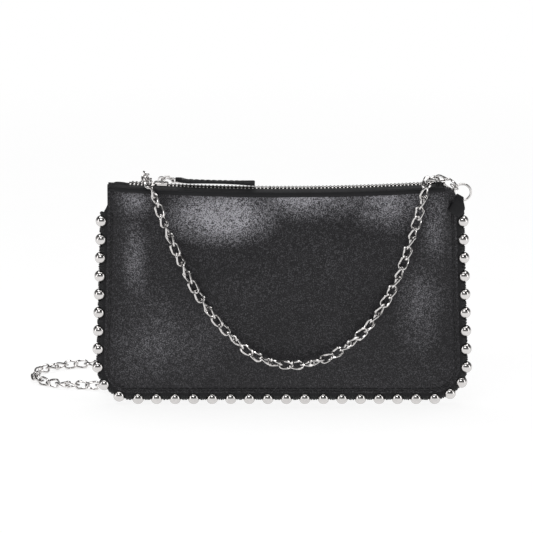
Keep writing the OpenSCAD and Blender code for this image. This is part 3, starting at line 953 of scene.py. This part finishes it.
class WALLET_OT_panels(bpy.types.Operator):
    """Front and back panels of soft leathercloth"""

    bl_idname = "wallet.panels"
    bl_label = "Panels"

    def execute(self, context):
        for name, side, seed in (("front_panel", -1, 1.7), ("back_panel", 1, 41.3)):
            self.panel(context.scene.wallet_pouch, name, side, seed)
        return {"FINISHED"}

    def panel(self, sizes, node, side, seed):
        across, up = 220, 132
        us = [math.sin(math.pi / 2 * (2 * i / across - 1)) for i in range(across + 1)]
        ts = [(1 - math.cos(math.pi * j / up)) / 2 for j in range(up + 1)]
        outer, inner = [], []
        for t in ts:
            for u in us:
                x, z, lift = panel_place(u, t, side < 0)
                relief = panel_relief(x, z, lift, seed, sizes)
                depth = EDGE_HALF + lift + relief
                outer.append(Vector((x, side * depth, z)))
                inner.append(Vector((x, side * (depth - PANEL_T), z)))
        row = across + 1
        layer = len(outer)
        faces = []
        for j in range(up):
            for i in range(across):
                a = j * row + i
                quad = (a, a + 1, a + 1 + row, a + row)
                faces.append(quad if side < 0 else quad[::-1])
                under = tuple(layer + k for k in quad)
                faces.append(under[::-1] if side < 0 else under)
        rim = list(range(row)) + [j * row + across for j in range(1, up + 1)]
        rim += [up * row + i for i in range(across - 1, -1, -1)]
        rim += [j * row for j in range(up - 1, 0, -1)]
        for a, b in zip(rim, rim[1:] + rim[:1]):
            quad = (b, a, layer + a, layer + b)
            faces.append(quad if side < 0 else quad[::-1])
        shape = Shape()
        shape.add(outer + inner, faces)
        cloth = shape.make(node + "_cloth", leathercloth_material(), "bag", "leathercloth", [node],
                           smooth_angle=60)
        seam = cloth.data.attributes.new("seam", "FLOAT", "POINT")
        for vertex in cloth.data.vertices:
            seam.data[vertex.index].value = seam_distance(vertex.co.x, vertex.co.z)


class WALLET_OT_edge(bpy.types.Operator):
    """Sewn edge: welt, thread wraps, beads and their cord"""

    bl_idname = "wallet.edge"
    bl_label = "Beaded edge"

    def execute(self, context):
        places = bead_places()
        everywhere = sorted(s for group in places.values() for s in group)
        self.welt(everywhere)
        self.wraps(everywhere)
        silver = silver_material("Bead silver", 220.0, 0.04)
        for node, group in places.items():
            shape = Shape()
            for s in group:
                self.bead(shape, s)
            shape.make(node + "_polished", silver, "bag", "bead_metal", [node], smooth_angle=50)
        dress_node("bead_cord", thread_material())
        return {"FINISHED"}

    def welt(self, beads):
        """A band whose outer rim is drawn in round each bead."""
        past_first, past_last, step = 20.5 * MM, 10.0 * MM, 0.5 * MM
        left_end = beads[0] - past_first
        right_end = beads[-1] + past_last
        count = int((right_end - left_end) / step)
        notch = BEAD_R - 0.45 * MM
        half = EDGE_HALF - 0.1 * MM
        # least inset from the bead line, distance behind the rim, share of the thickness
        profile = ((6.2, 3.4, 0.3), (4.0, 1.3, 0.34), (3.3, 1.0, 0.95), (2.0, 0.75, 1.0), (1.0, 0.4, 0.92),
                   (-9.0, 0.12, 0.7), (-9.0, 0.0, 0.3))
        rings = []
        for k in range(count + 1):
            s = left_end + (right_end - left_end) * k / count
            near = min(abs(s - b) for b in beads)
            rim = 0.45 * MM + 0.25 * MM * wave(s / MM / 1.9, 5.5, 2.0)
            rim += self.corner_taper(s, beads)
            if near < notch:
                rim = max(rim, math.sqrt(notch ** 2 - near ** 2))
            ring = [(max(least * MM, rim + behind * MM), thick * half) for least, behind, thick in profile]
            section = [(i, -y) for i, y in ring] + [(i, y) for i, y in reversed(ring)]
            rings.append([on_bead_line(s, i)[0] + Vector((0, y, 0)) for i, y in section])
        lofted(rings).make("edge_welt_leather", trim_material(), "bag", "black_trim", ["edge_welt"],
                           smooth_angle=50)

    def corner_taper(self, s, beads):
        """The welt slants in above the last bead of each side to meet the mouth."""
        past_left = beads[0] - s - 3.6 * MM
        past_right = s - beads[-1] - 4.0 * MM
        if past_left > 0:
            return min(3.1 * MM, 0.46 * past_left) - 0.1 * MM
        if past_right > 0:
            return 0.2 * past_right
        return 0.0

    def wraps(self, beads):
        """Thread turns that bind the bead cord to the welt between the beads."""
        rng = random.Random(11)
        shape = Shape()
        thread_r, spacing, half_t = 0.36 * MM, 0.78 * MM, 1.55 * MM
        gaps = [((a + b) / 2, 4) for a, b in zip(beads, beads[1:])]
        gaps += [(beads[0] - 4.2 * MM, 2), (beads[-1] + 4.8 * MM, 3)]
        for middle, count in gaps:
            for k in range(count):
                s = middle + (k - (count - 1) / 2) * spacing + rng.uniform(-0.1, 0.1) * MM
                place, along, out = on_bead_line(s)
                reach_out = (0.7 + rng.uniform(-0.12, 0.12)) * MM
                reach_in = (2.5 + rng.uniform(-0.3, 0.3)) * MM
                centre = place + out * (reach_out - reach_in) / 2
                semi = (reach_out + reach_in) / 2
                lean = along * rng.uniform(-0.25, 0.25) * MM
                loop = [centre + (out * semi + lean) * math.cos(a) + Vector((0, half_t * math.sin(a), 0))
                        for a in turns(18)]
                shape.tube(loop, thread_r, sides=6, closed=True, first_side=along)
        shape.make("edge_wraps", thread_material(), "bag", "thread")

    def bead(self, shape, s):
        """A polished ball with a small rolled lip round each end of its bore."""
        place, along, out = on_bead_line(s)
        turn = Matrix((along, out, along.cross(out))).transposed()
        bore = 0.8 * MM
        lip = 0.45 * MM
        first = math.asin(bore / BEAD_R)
        lip_x, lip_r = BEAD_R * math.cos(first) - lip, bore * 0.9
        steps, round_steps = 18, 32
        profile = [(-lip_x, lip_r)]
        for k in range(steps + 1):
            a = first + (math.pi - 2 * first) * k / steps
            profile.append((-BEAD_R * math.cos(a), BEAD_R * math.sin(a)))
        profile.append((lip_x, lip_r))
        angles = turns(round_steps)
        shape.loft([[place + turn @ Vector((x, r * math.cos(a), r * math.sin(a))) for a in angles]
                    for x, r in profile])


class WALLET_OT_topstitching(bpy.types.Operator):
    """Rows of stitches that hold the panels to the welt"""

    bl_idname = "wallet.topstitching"
    bl_label = "Topstitching"

    def execute(self, context):
        sizes = context.scene.wallet_pouch
        for node, side, seed in (("front_topstitching", -1, 1.7), ("back_topstitching", 1, 41.3)):
            self.row(sizes, node, side, seed)
        return {"FINISHED"}

    def row(self, sizes, node, side, seed):
        rng = random.Random(7)
        inner_arc = (CORNER_R - STITCH_INSET) * math.pi / 2
        column = 88 * MM
        total = STRAIGHT + ARC + column
        shape = Shape()
        s = -total
        while s < total:
            in_corner = STRAIGHT < abs(s) < STRAIGHT + ARC
            step = sizes.stitch_pitch * (ARC / inner_arc if in_corner else 1.0)
            self.stitch(shape, s, step, sizes, side, seed, rng)
            s += step
        shape.make(node + "_thread", thread_material(), "bag", "thread", [node])

    def stitch(self, shape, s, step, sizes, side, seed, rng):
        """One stitch: it rises out of its hole, lies on the leathercloth and dives again."""
        start, length = 0.1, 0.78
        radii = [r * MM for r in (0.2, 0.29, 0.31, 0.31, 0.29, 0.2)]
        steps = len(radii) - 1
        path = []
        lean = rng.uniform(-0.12, 0.12) * MM
        for k in range(steps + 1):
            share = k / steps
            place, _, _ = on_bead_line(s + step * (start + length * share),
                                       STITCH_INSET + lean * (share - 0.5))
            relief = panel_relief(place.x, place.z, 0.0, seed, sizes)
            rise = 0.28 * MM * math.sin(math.pi * share) + 0.06 * MM
            path.append(place + Vector((0, side * (EDGE_HALF + relief + rise), 0)))
        shape.tube(path, radii, sides=7)


class WALLET_OT_zip(bpy.types.Operator):
    """Mouth bands, end covers, tapes and teeth"""

    bl_idname = "wallet.zip"
    bl_label = "Zip"

    def execute(self, context):
        self.bands()
        self.covers()
        self.teeth()
        tape = woven_material("Black zip tape", (0.010, 0.010, 0.011), 500.0)
        for node in ("front_zip_tape", "back_zip_tape"):
            dress_node(node, tape)
        return {"FINISHED"}

    def bands(self):
        """A folded strip along each side of the mouth, with a rolled upper edge."""
        left, right = BAND_LOW.x + 0.7 * MM, BAND_HIGH.x
        count = 200
        mouth_half, pinched, tapered = 5.5, 2.4, 7 * MM
        section = [(-3.6, -0.08), (-3.8, 0.4), (-3.55, 0.85), (-2.7, 0.95), (-1.7, 0.95), (-1.15, 0.7),
                   (-0.95, 0.3), (-1.1, -0.1), (-1.6, -0.18), (-2.7, -0.16)]
        for node, side, lowered in (("front_top_band", -1, 0.5), ("back_top_band", 1, 1.8)):
            rings = []
            for k in range(count + 1):
                x = left + (right - left) * k / count
                drift = 0.22 * wave(x / MM / 17, 3.0 * side, 1.0) + 0.08 * wave(x / MM / 4, side, 6.0)
                sway = 0.25 * wave(x / MM / 24, 9.0 * side, 4.0)
                end = 1 - smooth_step(0.0, tapered, x - left)
                drop = lowered * end ** 2
                place = zip_place(x)
                ring = []
                for up, depth in section:
                    out = mouth_half - pinched * end + depth + sway * (0.3 - up / 6)
                    rise = up - drop + drift * (0.4 if up > -2 else 1.0)
                    ring.append(place @ Vector((0, side * out * MM, rise * MM)))
                rings.append(ring if side < 0 else ring[::-1])
            lofted(rings).make(node + "_leather", trim_material(), "bag", "black_trim", [node],
                               smooth_angle=60)

    def covers(self):
        """Folded leather over each end of the zip."""
        steps, lowest = 12, -1.3
        under = [(5.4, -1.8), (0.0, -1.6), (-5.4, -1.8)]
        for node, x0, x1 in (("left_end_cover", -96.3, -84.8), ("right_end_cover", 84.8, 88.6)):
            rings = []
            for k in range(steps + 1):
                share = k / steps
                place = zip_place((x0 + (x1 - x0) * share) * MM)
                crown = 0.3 * math.sin(math.pi * share) + 0.25 * wave(share * 5, 2.0, 1.0)
                if x0 < 0:
                    crown -= 1.8 * (1 - smooth_step(0.0, 0.4, share)) + 0.35
                shoulder = max(lowest, -0.7 + crown * 0.4)
                slope = max(lowest, 0.2 + crown)
                middle = max(lowest, 0.3 + crown)
                top = [(-5.5, lowest), (-4.4, shoulder), (-2.2, slope), (0.0, middle), (2.2, slope),
                       (4.4, shoulder), (5.5, lowest)]
                rings.append([place @ Vector((0, y * MM, z * MM)) for y, z in reversed(top + under)])
            lofted(rings).make(node + "_leather", trim_material(), "bag", "black_trim", [node],
                               smooth_angle=60)

    def teeth(self):
        """Metal teeth: closed to the right of the slider and parted to its left."""
        pitch, parting, apart = 2.1 * MM, -70 * MM, -78 * MM
        half_count, splay = 40, math.radians(22)
        tooth, root_foot = (0.98 * MM, 2.9 * MM, 1.9 * MM), (0.8 * MM, 0.8 * MM, 1.5 * MM)
        silver = silver_material("Zip silver", 400.0, 0.12)
        for node, side, shift in (("front_zip_teeth", -1, 0.25), ("back_zip_teeth", 1, 0.75)):
            shape = Shape()
            for i in range(-half_count, half_count):
                x = (i + shift) * pitch
                parted = smooth_step(parting, apart, x)
                lean = side * splay * parted
                middle = side * (0.95 + 0.75 * parted) * MM
                place = zip_place(x) @ Matrix.Translation((0, middle, 0)) @ Matrix.Rotation(lean, 4, "Z")
                shape.block(tooth, place, 0.16 * MM)
                root = place @ Matrix.Translation((0, side * 1.5 * MM, 0))
                shape.block(root_foot, root, 0.14 * MM)
            shape.make(node + "_metal", silver, "bag", "zip_metal", [node], smooth_angle=30)


class WALLET_OT_slider(bpy.types.Operator):
    """Slider, its bridge, the pull ring, the clasp and the leather pull"""

    bl_idname = "wallet.slider"
    bl_label = "Slider and pull"

    def execute(self, context):
        silver = silver_material("Zip silver", 400.0, 0.12)
        self.body(silver)
        for node in ("slider_bridge", "pull_clasp"):
            dress_node(node, silver)
        self.ring(silver)
        self.pull()
        return {"FINISHED"}

    def body(self, silver):
        """Two domed plates joined by a post, with turned rims, wide at the shoulders."""
        place = zip_place(SLIDER_X)
        half_length, half_width, narrowing = 4.05, 3.35, 0.55
        shape = Shape()
        for up in (1, -1):
            rings = []
            for rise, shrink in ((1.25, 0.0), (1.7, 0.0), (1.95, 0.25), (2.05, 0.7)):
                scale = 1 - shrink / 4
                ring = []
                for a in turns(40):
                    x, y = math.cos(a), math.sin(a)
                    width = half_width - narrowing * smooth_step(-0.2, 1.0, x)
                    along, across = half_length * squared(x, 0.62), width * squared(y, 0.55)
                    ring.append(place @ Vector((along * scale * MM, across * scale * MM, up * rise * MM)))
                rings.append(ring if up > 0 else ring[::-1])
            shape.loft(rings)
        rim_y, rim_low, rim_high = 2.75, 0.42, 1.3
        for side in (-1, 1):
            for up in (1, -1):
                middle = up * (rim_low + rim_high) / 2
                at = place @ Matrix.Translation(Vector((0.4, side * rim_y, middle)) * MM)
                shape.block((5.6 * MM, 0.36 * MM, (rim_high - rim_low) * MM), at, 0.1 * MM)
        post = place @ Matrix.Translation((-2.6 * MM, 0, 0))
        shape.block((1.6 * MM, 0.44 * MM, 2.7 * MM), post, 0.05 * MM)
        shape.make("slider_shell", silver, "slider", "zip_metal", ["slider_body"], smooth_angle=40)

    def ring(self, silver):
        """Oval wire ring that humps up between the bridge and the clasp."""
        place = zip_place(SLIDER_X)
        half_w, half_l, level, hump = 2.6, 3.3, 3.1, 1.7
        path = []
        for a in turns(48):
            x = half_l + half_l * squared(math.cos(a), 0.8)
            y = half_w * squared(math.sin(a), 0.75)
            z = level + hump * math.sin(math.pi * x / (2 * half_l))
            path.append(place @ (Vector((x, y, z)) * MM))
        shape = Shape()
        shape.tube(path, 0.5 * MM, sides=10, closed=True)
        shape.make("pull_ring_wire", silver, "pull_ring", "zip_metal", ["pull_ring"])

    def on_pull(self, length, d, y, z, ahead=0.0):
        """A point of the leather pull, in millimetres: d along it, y across and z out of it."""
        level, clasp_overlap = 2.75, 2.2
        share = d / length
        nose = 0.9 * (1 - smooth_step(1.0, 8.0, d))
        lift = 0.5 * math.sin(share * 2.4) + 0.8 * share ** 2 + nose
        roll = Matrix.Rotation(math.radians(-7 * math.sin(share * 3.0)), 4, "X")
        start = (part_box("leather_pull")[0].x - SLIDER_X) / MM - clasp_overlap
        across = roll @ Vector((0, y, z))
        return zip_place(SLIDER_X) @ ((across + Vector((start + d + ahead, 0, level + lift))) * MM)

    def pull(self):
        """A folded strip with a narrow neck, a flared end and a row of stitches each side."""
        low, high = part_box("leather_pull")
        length = (high.x - low.x) / MM
        rings = []
        count = 60
        for k in range(count + 1):
            d = length * k / count
            half = 2.2 + 2.3 * smooth_step(0.6, 4.0, d) + 0.8 * smooth_step(30, 44, d)
            half -= 0.9 * smooth_step(43.2, 44.0, d)
            thick = 0.72 - 0.12 * smooth_step(43.0, 44.0, d) + 0.35 * (1 - smooth_step(0.5, 6.0, d))
            rim, shoulder = half - 0.25, thick * 0.8
            section = [(-half, 0.0), (-rim, -shoulder), (-half * 0.5, -thick), (half * 0.5, -thick),
                       (rim, -shoulder), (half, 0.0), (rim, shoulder), (half * 0.6, thick),
                       (0.0, thick * 0.92), (-half * 0.6, thick), (-rim, shoulder)]
            rings.append([self.on_pull(length, d, y, z) for y, z in reversed(section)])
        lofted(rings).make("leather_pull_strip", trim_material(), "pull", "black_trim", ["leather_pull"],
                           smooth_angle=50)
        self.pull_stitches(length)

    def pull_stitches(self, length):
        """Two rows of short stitches that lie flat on the strip."""
        row_y, first, pitch, long, above = 3.4, 7.5, 3.2, 2.3, 0.6
        shape = Shape()
        for side in (-1, 1):
            for i in range(11):
                path = []
                for k in range(5):
                    rise = above + 0.12 * math.sin(math.pi * k / 4)
                    path.append(self.on_pull(length, first + i * pitch, side * row_y, rise, long * k / 4))
                shape.tube(path, 0.2 * MM, sides=6)
        shape.make("pull_stitches", thread_material(), "pull", "thread", ["pull_stitching"])


class WALLET_OT_tabs(bpy.types.Operator):
    """Strap tabs and rings at the top corners"""

    bl_idname = "wallet.tabs"
    bl_label = "Tabs and rings"

    def execute(self, context):
        leather = trim_material()
        silver = silver_material("Chain silver")
        self.right_tab(leather)
        dress_node("left_tab", leather)
        for node in ("right_ring", "left_ring", "right_end_link", "left_end_link"):
            dress_node(node, silver)
        return {"FINISHED"}

    def right_tab(self, leather):
        """A strip folded over the ring; its ends widen into a patch on each face of the pouch."""
        tilt = math.radians(30)
        grip = Matrix.Translation((97.4 * MM, 0, 117.4 * MM)) @ Matrix.Rotation(tilt, 4, "Y")
        fold_r, half_t, strap_half, widening = 2.55, 0.45, 2.15, 1.8
        leaf = [(fold_r, z) for z in (-0.5, -1.4, -2.4, -3.2, -4.0, -5.0, -6.0)]
        leaf += [(fold_r - 0.1, -6.8), (fold_r - 0.25, -7.6)]
        bend = [(-fold_r * math.cos(math.radians(a)), fold_r * math.sin(math.radians(a)))
                for a in range(15, 180, 15)]
        path = [(-y, z) for y, z in reversed(leaf)] + bend + leaf
        section = ((-1, -0.6), (-1, 0.3), (-0.93, 0.85), (-0.5, 1.0), (0.5, 1.0),
                   (0.93, 0.85), (1, 0.3), (1, -0.6), (0.5, -1.0), (-0.5, -1.0))
        rings = []
        for i, (y, z) in enumerate(path):
            before, after = path[max(i - 1, 0)], path[min(i + 1, len(path) - 1)]
            run = Vector((0, after[0] - before[0], after[1] - before[1])).normalized()
            out = Vector((0, -run.z, run.y))
            patch = widening * smooth_step(-2.6, 2.6, -z)
            half = strap_half + patch
            if i in (0, len(path) - 1):
                half -= 0.5
            sag = 0.12 * wave(y, z, 4.0)
            rings.append([grip @ ((Vector((patch + across * half, y, z)) + out * (lift * half_t + sag)) * MM)
                          for across, lift in section])
        lofted(rings).make("right_tab_leather", leather, "bag", "black_trim", ["right_tab"],
                           smooth_angle=50)


class WALLET_OT_inside(bpy.types.Operator):
    """Lining, stiffeners and the slip pocket"""

    bl_idname = "wallet.inside"
    bl_label = "Inside"

    def execute(self, context):
        lining = woven_material("Black lining cloth", (0.02, 0.02, 0.023), 900.0)
        board = woven_material("Bonded fibre sheet", (0.16, 0.16, 0.16), 1500.0)
        for node in ("front_lining", "back_lining", "slip_pocket"):
            dress_node(node, lining)
        for node in ("front_stiffener", "back_stiffener"):
            dress_node(node, board)
        return {"FINISHED"}


class WALLET_PT_panel(bpy.types.Panel):
    bl_idname = "WALLET_PT_panel"
    bl_label = "Chain Wallet"
    bl_space_type = "VIEW_3D"
    bl_region_type = "UI"
    bl_category = SIDEBAR_TAB

    def draw(self, context):
        layout = self.layout
        for operator in OPERATORS:
            layout.operator(operator.bl_idname)
        for group in (context.scene.wallet_pouch, context.scene.wallet_chain, context.scene.wallet_stage):
            box = layout.box()
            for key in group.__annotations__:
                box.prop(group, key)


OPERATORS = (
    WALLET_OT_stage, WALLET_OT_chain, WALLET_OT_panels, WALLET_OT_edge, WALLET_OT_topstitching,
    WALLET_OT_zip, WALLET_OT_slider, WALLET_OT_tabs, WALLET_OT_inside,
)
SETTINGS = (PouchSettings, ChainSettings, StageSettings)


def register():
    for cls in (*SETTINGS, *OPERATORS, WALLET_PT_panel):
        bpy.utils.register_class(cls)
    bpy.types.Scene.wallet_pouch = bpy.props.PointerProperty(type=PouchSettings)
    bpy.types.Scene.wallet_chain = bpy.props.PointerProperty(type=ChainSettings)
    bpy.types.Scene.wallet_stage = bpy.props.PointerProperty(type=StageSettings)


def unregister():
    del bpy.types.Scene.wallet_stage
    del bpy.types.Scene.wallet_chain
    del bpy.types.Scene.wallet_pouch
    for cls in (WALLET_PT_panel, *reversed(OPERATORS), *reversed(SETTINGS)):
        bpy.utils.unregister_class(cls)


def main():
    register()
    bpy.ops.wallet.stage()
    bpy.ops.wallet.chain()
    bpy.ops.wallet.panels()
    bpy.ops.wallet.edge()
    bpy.ops.wallet.topstitching()
    bpy.ops.wallet.zip()
    bpy.ops.wallet.slider()
    bpy.ops.wallet.tabs()
    bpy.ops.wallet.inside()


if __name__ == "__main__":
    main()
